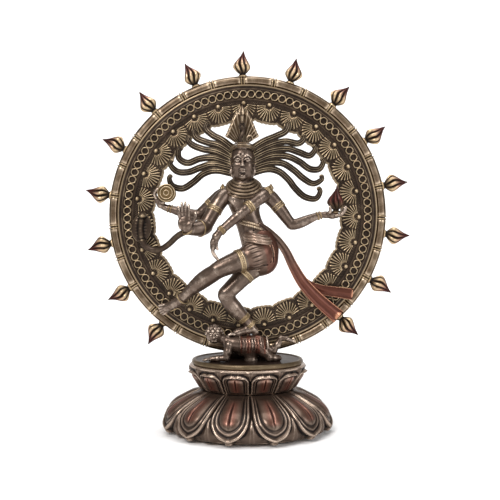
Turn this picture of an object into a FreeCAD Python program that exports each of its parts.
"""Dancing-deity figurine: a cold-cast bronze figure with four arms in a flaming ring, on a lotus base.

Millimetres. +Z up, the front faces -Y. The origin is the centre of the underside, on the ground.
Each casting, ornament and fixing is a solid of its own and is written to parts/NODE.step.
"""

import FreeCAD, Part
import math
import os
from FreeCAD import Vector

# ---- driving dimensions -------------------------------------------------------------------------
TOTAL_H = 254.0                 # sole of the felt to the tip of the top flame
DECK_Z = 47.5                   # top of the deck that the figures stand on
BASE_R = 55.0                   # widest point of the lower lotus
DECK_R = 36.8
DECK_T = 3.5
FELT_T = 1.5
FELT_R = 46.0

RING_Y = 5.0                    # the ring stands behind the figure
RING_Z = 143.6                  # centre of the ring
RING_ROLL = 2.0                 # degrees that the ornament is turned round the ring, seen from the front
RIM_R = 90.2                    # centre line of the bamboo-shaped rim
RIM_TUBE_R = 3.2
PLATE_R_IN = 62.0
PLATE_R_OUT = RIM_R - RIM_TUBE_R + 0.35
PLATE_T = 5.0
RELIEF_T = 1.2                  # how far the ornaments stand out of the plate
CHAIN_R = 80.8
CHAIN_COUNT = 96
BAND_COUNT = 27
FAN_R = 74.3                    # where the fans have their beads
FAN_HALF_ANGLE = 50.0           # degrees either side of the spoke
FAN_LENGTH = 11.3
BEAD_R = 1.15
LINK_R = 2.55                   # one little ring of the chain
LINK_HOLE_R = 1.6
BAND_R = 0.5                    # a band round the rim
BAND_HALF_GAP = 0.75            # the bands stand in pairs

FLAME_COUNT = 15
FLAME_STEP = 20.0               # degrees
FLAME_H = (TOTAL_H - RING_Z) / math.cos(math.radians(RING_ROLL)) - RIM_R - RIM_TUBE_R
FLAME_PEG_R = 1.0
FLAME_PEG_L = 2.2

FIGURE_Y = -9.0                 # the figure's middle plane
HEAD_X = -3.5
CHIN_Z = 166.2
HEAD_TOP_Z = 189.8
LOCK_R = 1.7                    # a lock of hair
JOINT_SWELL = 1.04              # a joint's radius beside the limb's
SKIN_GAP = 0.02                 # clearance left where one casting is let into another

PARTS = "parts"
UP = Vector(0, 0, 1)
BACK = Vector(0, 1, 0)


# ---- helpers ------------------------------------------------------------------------------------
def export(shape, node):
    """Writes one node, after checking that it is sound."""
    if not shape.isValid():
        shape.fix(1e-5, 1e-6, 1e-4)
    solids = shape.Solids
    out = solids[0] if len(solids) == 1 else Part.makeCompound(solids)
    out.exportStep(os.path.join(PARTS, node + ".step"))
    print(f"{node:16s} solids {len(solids):3d}  volume {out.Volume / 1000:8.3f} cm3  valid {out.isValid()}")


def turned(outline, smooth=False):
    """A solid of revolution about Z from (radius, height) points that start and end on the axis."""
    points = [Vector(r, 0, z) for r, z in outline]
    if smooth:
        spline = Part.BSplineCurve()
        spline.interpolate(points)
        edges = [spline.toShape(), Part.makeLine(points[-1], points[0])]
        wire = Part.Wire(edges)
    else:
        wire = Part.makePolygon(points + [points[0]])
    return Part.Face(wire).revolve(Vector(0, 0, 0), UP, 360)


def between(start, end, r_start, r_end):
    """A frustum from one point to another."""
    axis = end - start
    if abs(r_start - r_end) < 1e-3:
        return Part.makeCylinder(r_start, axis.Length, start, axis)
    return Part.makeCone(r_start, r_end, axis.Length, start, axis)


def limb(stations, poles=None):
    """A rounded limb through (x, y, z, radius) stations, with a joint at each that is a little thicker.
    poles are the joints' axes, where several limbs meet and their seams have to miss each other."""
    points = [Vector(*s[:3]) for s in stations]
    radii = [s[3] for s in stations]
    poles = poles or [UP] * len(points)
    joints = [Part.makeSphere(r * JOINT_SWELL, p, axis) for p, r, axis in zip(points, radii, poles)]
    bones = [between(*ends) for ends in zip(points, points[1:], radii, radii[1:])]
    return joints[0].fuse(joints[1:] + bones)


def rounded_path(points):
    """A wire of straight runs joined by tangent arcs, as wide as the runs allow."""
    edges = []
    here = points[0]
    for before, corner, after in zip(points, points[1:], points[2:]):
        run_in = corner - before
        run_out = after - corner
        turn = run_in.getAngle(run_out)
        reach = 0.45 * min(run_in.Length, run_out.Length)
        radius = reach / math.tan(turn / 2)
        start = corner - run_in.normalize() * reach
        end = corner + run_out.normalize() * reach
        bisector = (run_out - run_in).normalize()
        centre = corner + bisector * (radius / math.cos(turn / 2))
        middle = centre - bisector * radius
        edges.append(Part.makeLine(here, start))
        edges.append(Part.Arc(start, middle, end).toShape())
        here = end
    edges.append(Part.makeLine(here, points[-1]))
    return Part.Wire(edges)


def tube(points, radius):
    """A round tube along a path of runs and arcs."""
    vectors = [Vector(*p) for p in points]
    path = rounded_path(vectors)
    ring = Part.Wire(Part.makeCircle(radius, vectors[0], vectors[1] - vectors[0]))
    solid = path.makePipeShell([ring], True, False)
    return solid.Solids[0] if solid.Solids else solid


def slices(sections):
    """A smooth loft through level ellipses given as (x, y, z, half width, half depth)."""
    wires = []
    for x, y, z, half_w, half_d in sections:
        ellipse = Part.Ellipse(Vector(x, y, z), max(half_w, half_d), min(half_w, half_d))
        shape = ellipse.toShape()
        if half_d > half_w:
            shape.rotate(Vector(x, y, z), UP, 90)
        wires.append(Part.Wire(shape))
    return Part.makeLoft(wires, True, False)


def egg(x, y, z, half_w, half_d, half_h):
    """An ellipsoid."""
    ball = Part.makeSphere(1.0)
    matrix = FreeCAD.Matrix()
    matrix.scale(half_w, half_d, half_h)
    solid = ball.transformGeometry(matrix)
    solid.translate(Vector(x, y, z))
    return solid


def on_ring(shape, degrees):
    """Turns a shape that was made at the top of the ring to another place on it."""
    moved = shape.copy()
    moved.rotate(Vector(0, RING_Y, RING_Z), BACK, -(degrees - 90.0 + RING_ROLL))
    return moved


def hoop(x, y, z, radius, thickness, direction):
    """A bangle: a torus round an arm or leg."""
    return Part.makeTorus(radius, thickness, Vector(x, y, z), Vector(*direction))


def minus(shape, *others):
    """Cuts other castings out of this one, and keeps the largest piece."""
    cut = shape
    for other in others:
        cut = cut.cut(other)
    return max(cut.Solids, key=lambda s: s.Volume)


# ---- base ---------------------------------------------------------------------------------------
def make_base():
    joint_z = 27.5
    felt = Part.makeCylinder(FELT_R, FELT_T)

    lower = turned([
        (0, FELT_T), (50.0, FELT_T), (53.6, 4.5), (BASE_R, 9.0), (54.2, 13.5), (51.0, 17.2),
        (45.5, 20.6), (38.5, 24.4), (32.5, joint_z), (0, joint_z)])
    filling_r = 24.0
    filling_top = FELT_T + 16.0
    filling = Part.makeCylinder(filling_r, filling_top - FELT_T, Vector(0, 0, FELT_T))

    seat_z = DECK_Z - DECK_T
    upper = turned([
        (0, joint_z), (32.0, joint_z), (32.2, 29.0), (33.8, 31.5), (36.2, 35.0), (38.3, 39.0),
        (40.0, 42.2), (38.6, seat_z), (0, seat_z)])

    # the bolt bears on the ceiling of the pocket that the filling is then poured into
    bolt_r = 2.0
    bolt_end_z = 38.0
    head_r = 3.9
    head_h = 3.0
    bolt = Part.makeCylinder(bolt_r, bolt_end_z - filling_top, Vector(0, 0, filling_top))
    bolt = bolt.fuse(Part.makeCylinder(head_r, head_h, Vector(0, 0, filling_top - head_h)))
    lower = lower.cut(filling).cut(bolt)
    upper = upper.cut(bolt)
    filling = filling.cut(bolt)

    dish = 0.6
    deck = turned([
        (0, seat_z), (35.2, seat_z), (DECK_R, 45.6), (DECK_R, 46.8), (36.2, DECK_Z),
        (34.6, DECK_Z), (34.2, DECK_Z - dish), (0, DECK_Z - dish)])
    return {"felt_pad": felt, "lower_lotus": lower, "base_filling": filling, "tie_bolt": bolt,
            "upper_lotus": upper, "deck_plate": deck}


# ---- ring ---------------------------------------------------------------------------------------
def bead_ring():
    """One little ring of the chain, at the top of the big ring, on its front face."""
    spot = Vector(0, RING_Y - PLATE_T / 2 - RELIEF_T, RING_Z + CHAIN_R)
    outer = Part.makeCylinder(LINK_R, RELIEF_T, spot, BACK)
    return outer.cut(Part.makeCylinder(LINK_HOLE_R, RELIEF_T, spot, BACK))


def shell_fan():
    """One fan of rays that spreads from its bead towards the middle of the ring."""
    front_y = RING_Y - PLATE_T / 2 - RELIEF_T
    top = Vector(0, front_y, RING_Z + FAN_R)
    half = math.radians(FAN_HALF_ANGLE)
    left = top + Vector(-math.sin(half), 0, -math.cos(half)) * (FAN_LENGTH * 0.86)
    right = top + Vector(math.sin(half), 0, -math.cos(half)) * (FAN_LENGTH * 0.86)
    low = top + Vector(0, 0, -FAN_LENGTH)
    arc = Part.Arc(left, low, right).toShape()
    wire = Part.Wire([Part.makeLine(top, left), arc, Part.makeLine(right, top)])
    wedge = Part.Face(wire).extrude(Vector(0, RELIEF_T, 0))
    bead = Part.makeSphere(BEAD_R, top + Vector(0, 0.3, 0.6))
    plate_side = Part.makeBox(4 * BEAD_R, 4 * BEAD_R, 4 * BEAD_R,
                              top + Vector(-2 * BEAD_R, RELIEF_T, -2 * BEAD_R))
    return wedge.fuse(bead).cut(plate_side)


def flame():
    """One flame at the top of the rim, with the peg that holds it there."""
    foot_z = RING_Z + RIM_R + RIM_TUBE_R - 0.15
    body = turned([(0, 0), (2.2, 0), (1.8, 1.3), (3.5, 3.6), (4.7, 6.6), (3.7, 10.0),
                   (1.6, 13.6), (0.4, FLAME_H - 0.6), (0, FLAME_H)])
    peg = Part.makeCylinder(FLAME_PEG_R, FLAME_PEG_L + 0.2, Vector(0, 0, -FLAME_PEG_L))
    solid = body.fuse(peg)
    solid.translate(Vector(0, RING_Y, foot_z + 0.15))
    rim = Part.makeTorus(RIM_R, RIM_TUBE_R, Vector(0, RING_Y, RING_Z), BACK)
    socket = Part.makeCylinder(FLAME_PEG_R + SKIN_GAP, FLAME_PEG_L + 2.0,
                               Vector(0, RING_Y, foot_z - FLAME_PEG_L - 0.05))
    return solid.cut(rim.cut(socket)), socket


def make_rim_bands(rim, plate, neighbours):
    """Pairs of bands round the rim, each an open hoop whose ends stop at the plate."""
    band = Part.makeTorus(RIM_TUBE_R + 0.1, BAND_R, Vector(0, RING_Y, RING_Z + RIM_R), Vector(1, 0, 0))
    band = minus(band, rim, plate)
    bands = []
    for i in range(BAND_COUNT):
        for side in (-BAND_HALF_GAP, BAND_HALF_GAP):
            angle = 90.0 + 360.0 / BAND_COUNT * i + math.degrees(side / RIM_R)
            placed = on_ring(band, angle)
            near = [n for n in neighbours if n.BoundBox.intersect(placed.BoundBox)]
            bands.append(minus(placed, *near))
    return Part.makeCompound(bands)


def make_ring():
    centre = Vector(0, RING_Y, RING_Z)
    front = Vector(0, RING_Y - PLATE_T / 2, RING_Z)
    plain_rim = Part.makeTorus(RIM_R, RIM_TUBE_R, centre, BACK)
    plate = Part.makeCylinder(PLATE_R_OUT, PLATE_T, front, BACK)
    plate = plate.cut(Part.makeCylinder(PLATE_R_IN, PLATE_T, front, BACK)).cut(plain_rim)

    one_flame, socket = flame()
    rim = plain_rim
    flames = []
    for i in range(FLAME_COUNT):
        angle = 90.0 + FLAME_STEP * (i - (FLAME_COUNT - 1) / 2)
        flames.append(on_ring(one_flame, angle))
        rim = rim.cut(on_ring(socket, angle))
    nodes = {f"flame_{i + 1:02d}": shape for i, shape in enumerate(flames)}

    foot_half = 13.0
    foot_depth = 9.0
    foot_top = RING_Z - RIM_R - RIM_TUBE_R + 4.2
    dish = 0.6                      # the deck is dished inside its rim, and the foot reaches down into it
    foot = Part.makeBox(2 * foot_half, foot_depth, foot_top - DECK_Z + dish,
                        Vector(-foot_half, RING_Y - foot_depth / 2, DECK_Z - dish))
    foot = foot.cut(Part.makeCylinder(RIM_R, PLATE_T, front, BACK)).cut(plain_rim)

    nodes["ring_foot"] = foot
    nodes["ring_plate"] = plate
    nodes["ring_rim"] = rim
    nodes["rim_bands"] = make_rim_bands(plain_rim, plate, flames + [foot])

    one_link = bead_ring()
    nodes["bead_chain"] = Part.makeCompound(
        [on_ring(one_link, 90.0 + 360.0 / CHAIN_COUNT * i) for i in range(CHAIN_COUNT)])
    one_fan = shell_fan()
    nodes["shell_fans"] = Part.makeCompound(
        [on_ring(one_fan, 90.0 + 360.0 / BAND_COUNT * i) for i in range(BAND_COUNT)])

    dowel_r = 1.5
    dowel_l = 9.0
    dowel_foot_z = DECK_Z - 7.0
    nodes["ring_dowels"] = Part.makeCompound(
        [Part.makeCylinder(dowel_r, dowel_l, Vector(x, RING_Y, dowel_foot_z)) for x in (-7.0, 7.0)])
    return nodes


# ---- figure -------------------------------------------------------------------------------------
def make_body():
    torso = slices([
        (8.5, FIGURE_Y, 113.0, 9.5, 7.0), (8.0, FIGURE_Y, 119.0, 11.6, 8.3),
        (5.0, FIGURE_Y, 127.0, 9.8, 7.2), (1.6, FIGURE_Y, 135.0, 8.2, 6.0),
        (-0.8, FIGURE_Y, 143.0, 8.8, 6.4), (-2.2, FIGURE_Y, 151.0, 11.4, 7.4),
        (-2.6, FIGURE_Y, 158.0, 12.4, 6.6), (-2.8, FIGURE_Y, 163.0, 7.0, 5.0),
        (-3.1, FIGURE_Y, 169.5, 4.0, 4.0)])
    head_half_h = (HEAD_TOP_Z - CHIN_Z) / 2
    head = egg(HEAD_X, FIGURE_Y - 0.6, CHIN_Z + head_half_h, 7.5, 8.4, head_half_h)
    head = minus(head, torso)
    headband = hoop(HEAD_X, FIGURE_Y - 0.3, 187.0, 6.4, 1.3, (0, -0.12, 1))
    headband = minus(headband, head)

    neck_rings = []
    for radius, z, tilt in ((5.3, 165.6, 0.25), (7.6, 163.0, 0.32), (10.0, 160.0, 0.42)):
        neck_rings.append(hoop(-2.8, FIGURE_Y - 0.8, z, radius, 1.1, (0, -tilt, 1)))
    necklaces = Part.makeCompound([minus(r, torso, head) for r in neck_rings])
    return {"torso": torso, "head": head, "headband": headband, "necklaces": necklaces}


def make_crown(head, headband):
    front_y = FIGURE_Y - 0.8
    outline = [(-5.2, 187.6), (-10.4, 197.8), (-4.6, 212.0), (4.6, 212.0), (10.4, 197.8), (5.2, 187.6)]
    points = [Vector(HEAD_X + x, front_y, z) for x, z in outline]
    fan = Part.Face(Part.makePolygon(points + [points[0]])).extrude(Vector(0, 2.6, 0))
    fan = minus(fan, head, headband)
    cobra_y = front_y - 1.7
    cobra = limb([(HEAD_X, cobra_y, 191.2, 1.6), (HEAD_X - 0.6, cobra_y, 196.5, 1.5),
                  (HEAD_X - 0.2, cobra_y, 202.5, 1.6)])
    cobra = minus(cobra, fan, head, headband)
    return {"crown_fan": fan, "crown_cobra": cobra}


LOCKS_LEFT = (
    ((-7.2, -9, 184.4), (-16.0, -8, 191.6), (-22.6, -6, 195.4), (-27.2, -4, 199.6), (-27.2, -3, 203.4)),
    ((-8.0, -9, 181.4), (-18.2, -8, 188.2), (-26.6, -6, 190.8), (-33.6, -4, 194.0), (-35.4, -3, 198.0)),
    ((-8.4, -9, 178.6), (-20.2, -8, 184.4), (-28.8, -6, 186.2), (-36.2, -4, 189.2), (-39.6, -3, 192.8)),
    ((-8.4, -9, 175.8), (-22.0, -8, 180.2), (-31.4, -6, 180.0), (-39.6, -4, 177.4), (-45.4, -3, 180.6),
     (-45.6, -3, 186.0)),
    ((-7.6, -9, 172.6), (-22.0, -8, 176.0), (-31.0, -6, 174.2), (-39.0, -4, 171.4), (-46.6, -3, 171.8),
     (-51.2, -3, 176.4), (-49.8, -3, 180.4)),
    ((-6.2, -9, 169.0), (-20.0, -8, 172.0), (-28.8, -6, 170.2), (-36.0, -4, 164.6), (-43.0, -3, 160.6),
     (-49.6, -3, 162.2), (-52.0, -3, 167.0)),
)
LOCKS_RIGHT = (
    ((0.2, -9, 184.2), (10.4, -8, 191.0), (19.0, -6, 195.0), (25.2, -4, 198.4), (27.2, -3, 203.2)),
    ((1.0, -9, 181.4), (13.4, -8, 188.0), (24.4, -6, 191.4), (33.4, -4, 190.4), (37.6, -3, 193.6)),
    ((1.4, -9, 178.4), (14.4, -8, 184.8), (26.0, -6, 186.6), (34.0, -4, 184.6), (41.2, -3, 182.4),
     (45.0, -3, 186.6)),
    ((1.4, -9, 175.4), (15.4, -8, 181.2), (26.0, -6, 181.6), (34.2, -4, 178.4), (41.4, -3, 173.6),
     (47.8, -3, 173.6), (50.4, -3, 178.4)),
    ((0.6, -9, 172.2), (13.6, -8, 176.8), (23.0, -6, 177.0), (30.6, -4, 172.8), (37.0, -3, 167.4),
     (43.6, -3, 163.8), (49.2, -3, 166.4)),
    ((-0.8, -9, 168.8), (12.2, -8, 172.8), (20.6, -6, 171.6), (27.0, -4, 166.6), (32.0, -3, 160.4),
     (38.2, -3, 155.0), (45.4, -3, 153.8), (48.4, -3, 158.6)),
)


def make_hair(head, headband, torso):
    """Locks that stand out to both sides of the head, each a solid of its own that starts at the head."""
    nodes = {}
    for node, locks in (("hair_left", LOCKS_LEFT), ("hair_right", LOCKS_RIGHT)):
        tubes = [tube(route, LOCK_R) for route in locks]
        nodes[node] = Part.makeCompound([minus(lock, head, headband, torso) for lock in tubes])
    return nodes


def make_arms(torso):
    raised_right = limb([
        (-17.0, -5.5, 156.5, 4.2), (-26.0, -4.5, 148.0, 3.6), (-33.5, -4.5, 142.8, 3.1),
        (-55.0, -4.0, 148.2, 2.3), (-59.6, -3.5, 152.4, 2.3), (-59.8, -3.0, 157.5, 2.0)])
    blessing = limb([
        (-16.6, -10.0, 154.5, 4.4), (-21.5, -13.0, 146.0, 4.2), (-29.0, -15.5, 133.8, 4.6),
        (-39.6, -23.0, 133.2, 2.8), (-41.0, -25.0, 137.0, 3.2), (-42.6, -25.5, 148.6, 2.9)])
    raised_left = limb([
        (12.6, -6.5, 157.0, 4.2), (21.8, -7.5, 146.6, 3.7), (29.6, -8.0, 136.2, 3.2),
        (38.5, -7.0, 139.2, 3.0), (49.0, -6.0, 142.8, 2.2), (57.4, -5.0, 142.6, 2.3)])
    crossing = limb([
        (11.8, -12.5, 155.0, 4.2), (4.6, -18.5, 149.8, 3.9), (-5.6, -21.5, 141.4, 3.5),
        (-18.2, -24.0, 131.4, 2.6), (-22.6, -24.5, 124.6, 2.5), (-22.4, -24.5, 119.6, 1.9),
        (-19.8, -24.5, 115.0, 1.1)])
    arms = {}
    arms["arm_drum"] = minus(raised_right, torso)
    arms["arm_blessing"] = minus(blessing, torso, raised_right)
    arms["arm_flame"] = minus(raised_left, torso)
    arms["arm_crossing"] = minus(crossing, torso, raised_left)
    return arms


def make_legs(torso):
    standing = limb([
        (9.5, -9.0, 112.0, 7.0), (-3.0, -12.5, 102.5, 5.6), (-14.0, -15.0, 90.8, 4.7),
        (-8.2, -12.5, 82.0, 4.6), (2.4, -10.0, 69.6, 2.9), (4.6, -9.6, 66.0, 2.7),
        (-4.0, -11.0, 65.2, 2.4), (-10.6, -12.4, 64.6, 1.8)])
    raised = limb([
        (10.6, -13.0, 118.5, 7.6), (-4.0, -20.0, 114.2, 6.6), (-20.4, -24.0, 108.4, 5.1),
        (-29.4, -20.5, 100.6, 4.8), (-42.0, -13.5, 88.4, 2.9), (-45.0, -11.0, 86.2, 2.8),
        (-52.0, -7.0, 82.0, 2.6), (-57.4, -5.0, 79.4, 1.9)])
    return {"leg_standing": minus(standing, torso), "leg_raised": minus(raised, torso, standing)}


def ribbon(centre_line, half_widths, front_y, thickness):
    """A flat band of cloth in an upright plane, drawn from its centre line and its half widths."""
    tops = []
    lows = []
    for i, (x, z) in enumerate(centre_line):
        before = centre_line[max(i - 1, 0)]
        after = centre_line[min(i + 1, len(centre_line) - 1)]
        run = math.hypot(after[0] - before[0], after[1] - before[1])
        nx = -(after[1] - before[1]) / run
        nz = (after[0] - before[0]) / run
        w = half_widths[i]
        tops.append(Vector(x + nx * w, front_y, z + nz * w))
        lows.append(Vector(x - nx * w, front_y, z - nz * w))
    edges = []
    for side in (tops, lows[::-1]):
        spline = Part.BSplineCurve()
        spline.interpolate(side)
        edges.append(spline.toShape())
    far_end, near_end = Part.makeLine(tops[-1], lows[-1]), Part.makeLine(lows[0], tops[0])
    wire = Part.Wire([edges[0], far_end, edges[1], near_end])
    return Part.Face(wire).extrude(Vector(0, thickness, 0))


def make_cloth(torso, legs):
    loincloth = slices([
        (9.5, -10.0, 112.5, 11.0, 9.0), (9.0, -10.0, 118.0, 12.8, 9.9), (7.6, -10.0, 125.4, 11.8, 8.8)])
    loincloth = minus(loincloth, torso, *legs)
    belt = slices([
        (7.4, -9.6, 125.6, 11.9, 8.9), (6.8, -9.6, 127.6, 11.6, 8.7), (6.0, -9.4, 129.4, 11.0, 8.2)])
    belt = minus(belt, torso, *legs)

    sash_main = ribbon(
        [(17.0, 131.4), (21.4, 126.6), (25.6, 118.6), (30.2, 108.8), (36.8, 97.6), (46.8, 86.6),
         (59.6, 74.8)],
        [2.0, 2.4, 2.7, 3.2, 3.8, 4.3, 4.8], -9.5, 2.4)
    sash_main = minus(sash_main, belt, loincloth, torso, *legs)
    sash_tail = ribbon(
        [(38.6, 99.4), (44.6, 95.2), (52.0, 92.6), (60.6, 91.2), (69.4, 90.0)],
        [1.4, 2.4, 3.2, 3.4, 3.6], -7.1, 2.2)
    sash_waist = hoop(2.6, FIGURE_Y, 136.4, 8.2, 1.4, (0.22, 0, 1))
    sash_waist = minus(sash_waist, torso)
    return {"loincloth": loincloth, "belt": belt, "sash_main": sash_main, "sash_tail": sash_tail,
            "sash_waist": sash_waist}


def make_attributes():
    drum_x = -53.4
    drum_y = -9.8
    drum_z = 157.2
    drum_r = 5.7
    waist_r = 3.1
    half_length = 4.2
    front_cup = Part.makeCone(drum_r, waist_r, half_length, Vector(drum_x, drum_y, drum_z), BACK)
    back_cup = Part.makeCone(waist_r, drum_r, half_length, Vector(drum_x, drum_y + half_length, drum_z), BACK)
    drum = front_cup.fuse(back_cup)

    hand_flame = turned([
        (0, 0), (2.6, 0), (4.6, 2.4), (5.5, 5.6), (4.6, 9.4), (2.2, 13.2), (0.4, 16.6), (0, 17.2)])
    hand_flame.translate(Vector(58.6, -5.6, 144.9))

    cobra = tube([(-39.6, -21.4, 131.6), (-45.6, -16.0, 128.8), (-50.2, -12.0, 124.8), (-55.6, -9.0, 120.6),
                  (-61.4, -6.5, 119.8), (-66.4, -5.0, 122.6), (-70.2, -4.2, 128.0)], 1.9)
    hood = egg(-69.6, -3.6, 134.6, 6.6, 2.2, 9.4)
    cobra_head = egg(-68.6, -5.6, 142.6, 2.9, 3.2, 2.3)
    return {"drum": drum, "hand_flame": hand_flame, "cobra": cobra.fuse(hood).fuse(cobra_head)}


def make_jewellery(solids_to_clear):
    """Bangles on the arms and legs, each a hoop let onto its limb."""
    arm_hoops = [
        hoop(-24.5, -4.8, 149.4, 4.0, 0.8, (-0.75, 0.1, -0.66)),
        hoop(-20.4, -12.3, 147.8, 4.5, 0.8, (-0.5, -0.3, -0.87)),
        hoop(20.6, -7.4, 148.0, 4.1, 0.8, (0.66, -0.05, -0.75)),
        hoop(6.6, -16.8, 151.4, 4.3, 0.8, (-0.7, -0.55, -0.55)),
        hoop(-51.5, -4.1, 147.3, 2.9, 0.7, (-0.97, 0, 0.25)),
        hoop(-36.8, -21.0, 133.4, 3.7, 0.7, (-0.8, -0.55, 0)),
        hoop(46.4, -6.3, 141.9, 2.8, 0.7, (0.95, 0.1, 0.32)),
        hoop(-15.6, -23.5, 133.4, 3.2, 0.8, (-0.77, -0.15, -0.6)),
    ]
    leg_hoops = [
        hoop(-4.4, -20.2, 114.0, 7.0, 0.9, (-0.93, -0.3, -0.25)),
        hoop(-1.4, -12.0, 103.8, 6.3, 0.9, (-0.78, -0.18, -0.6)),
        hoop(0.9, -10.4, 71.4, 3.6, 0.8, (0.62, 0.15, -0.76)),
        hoop(-40.4, -14.4, 89.8, 3.9, 0.8, (-0.66, 0.37, -0.65)),
    ]
    nodes = {}
    for node, hoops in (("arm_bangles", arm_hoops), ("leg_bangles", leg_hoops)):
        nodes[node] = Part.makeCompound([minus(h, *solids_to_clear) for h in hoops])
    return nodes


def poles_across(stations):
    """Axes for a limb's joints that lie across it."""
    lean = Vector(0.3, 1.0, 0.2)
    points = [Vector(*s[:3]) for s in stations]
    ahead = points[1:] + points[-1:]
    behind = points[:1] + points[:-1]
    return [(a - b).cross(lean) for a, b in zip(ahead, behind)]


def make_dwarf():
    """The small figure that lies on the deck under the dancer's foot."""
    y = FIGURE_Y - 1.5
    trunk = [(-11.0, y, 58.0, 5.4), (-2.5, y, 57.6, 5.6), (6.6, y, 57.8, 5.9)]
    head = [(-16.8, y - 1.0, 60.0, 3.0), (-22.2, y - 1.5, 63.4, 5.5)]
    near_arm = [(-12.0, y - 3.4, 56.8, 2.6), (-13.4, y - 4.6, 49.0, 2.2), (-25.6, y - 4.0, 48.4, 1.8)]
    near_leg = [(7.6, y - 2.4, 56.4, 4.0), (14.2, y - 3.4, 49.2, 2.7), (20.0, y - 0.5, 48.8, 2.2)]
    far_leg = [(9.0, y + 2.0, 55.8, 3.6), (17.0, y + 3.0, 52.4, 2.4), (22.2, y + 3.0, 61.6, 1.8),
               (30.4, y + 3.0, 59.4, 1.4)]
    routes = (trunk, head, near_arm, near_leg, far_leg)
    body, *others = [limb(route, poles_across(route)) for route in routes]
    return body.fuse(others)


def make_figure():
    """The dancer, the jewellery and what the hands hold, each cut to clear what was made before it."""
    nodes = make_body()
    torso, head, headband = nodes["torso"], nodes["head"], nodes["headband"]
    nodes.update(make_crown(head, headband))
    nodes.update(make_hair(head, headband, torso))
    legs = make_legs(torso)
    arms = make_arms(torso)
    arms["arm_crossing"] = minus(arms["arm_crossing"], *legs.values())
    nodes.update(make_cloth(torso, legs.values()))
    held = make_attributes()
    held["drum"] = minus(held["drum"], arms["arm_drum"])
    held["hand_flame"] = minus(held["hand_flame"], arms["arm_flame"])
    held["cobra"] = minus(held["cobra"], arms["arm_blessing"])
    nodes.update(held)
    nodes.update(make_jewellery([torso, *arms.values(), *legs.values()]))
    nodes.update(arms)
    nodes.update(legs)
    return nodes


def fit_fixings(nodes):
    """Drills the castings for the rod that holds the dancer up and for the dowels under the ring."""
    rod_r = 1.0
    rod_l = 30.0
    rod = Part.makeCylinder(rod_r, rod_l, Vector(2.4, -10.0, DECK_Z - 9.0))
    nodes["leg_rod"] = rod
    for cut_from in ("upper_lotus", "deck_plate", "dwarf", "leg_standing"):
        nodes[cut_from] = minus(nodes[cut_from], rod)
    dowels = nodes["ring_dowels"]
    for cut_from in ("upper_lotus", "deck_plate", "ring_foot"):
        nodes[cut_from] = minus(nodes[cut_from], dowels)


def main():
    os.makedirs(PARTS, exist_ok=True)
    nodes = make_base()
    nodes.update(make_ring())
    nodes.update(make_figure())
    nodes["dwarf"] = minus(make_dwarf(), nodes["deck_plate"])
    nodes["leg_standing"] = minus(nodes["leg_standing"], nodes["dwarf"])
    fit_fixings(nodes)

    for node, shape in nodes.items():
        export(shape, node)
    print(len(nodes), "nodes")


main()
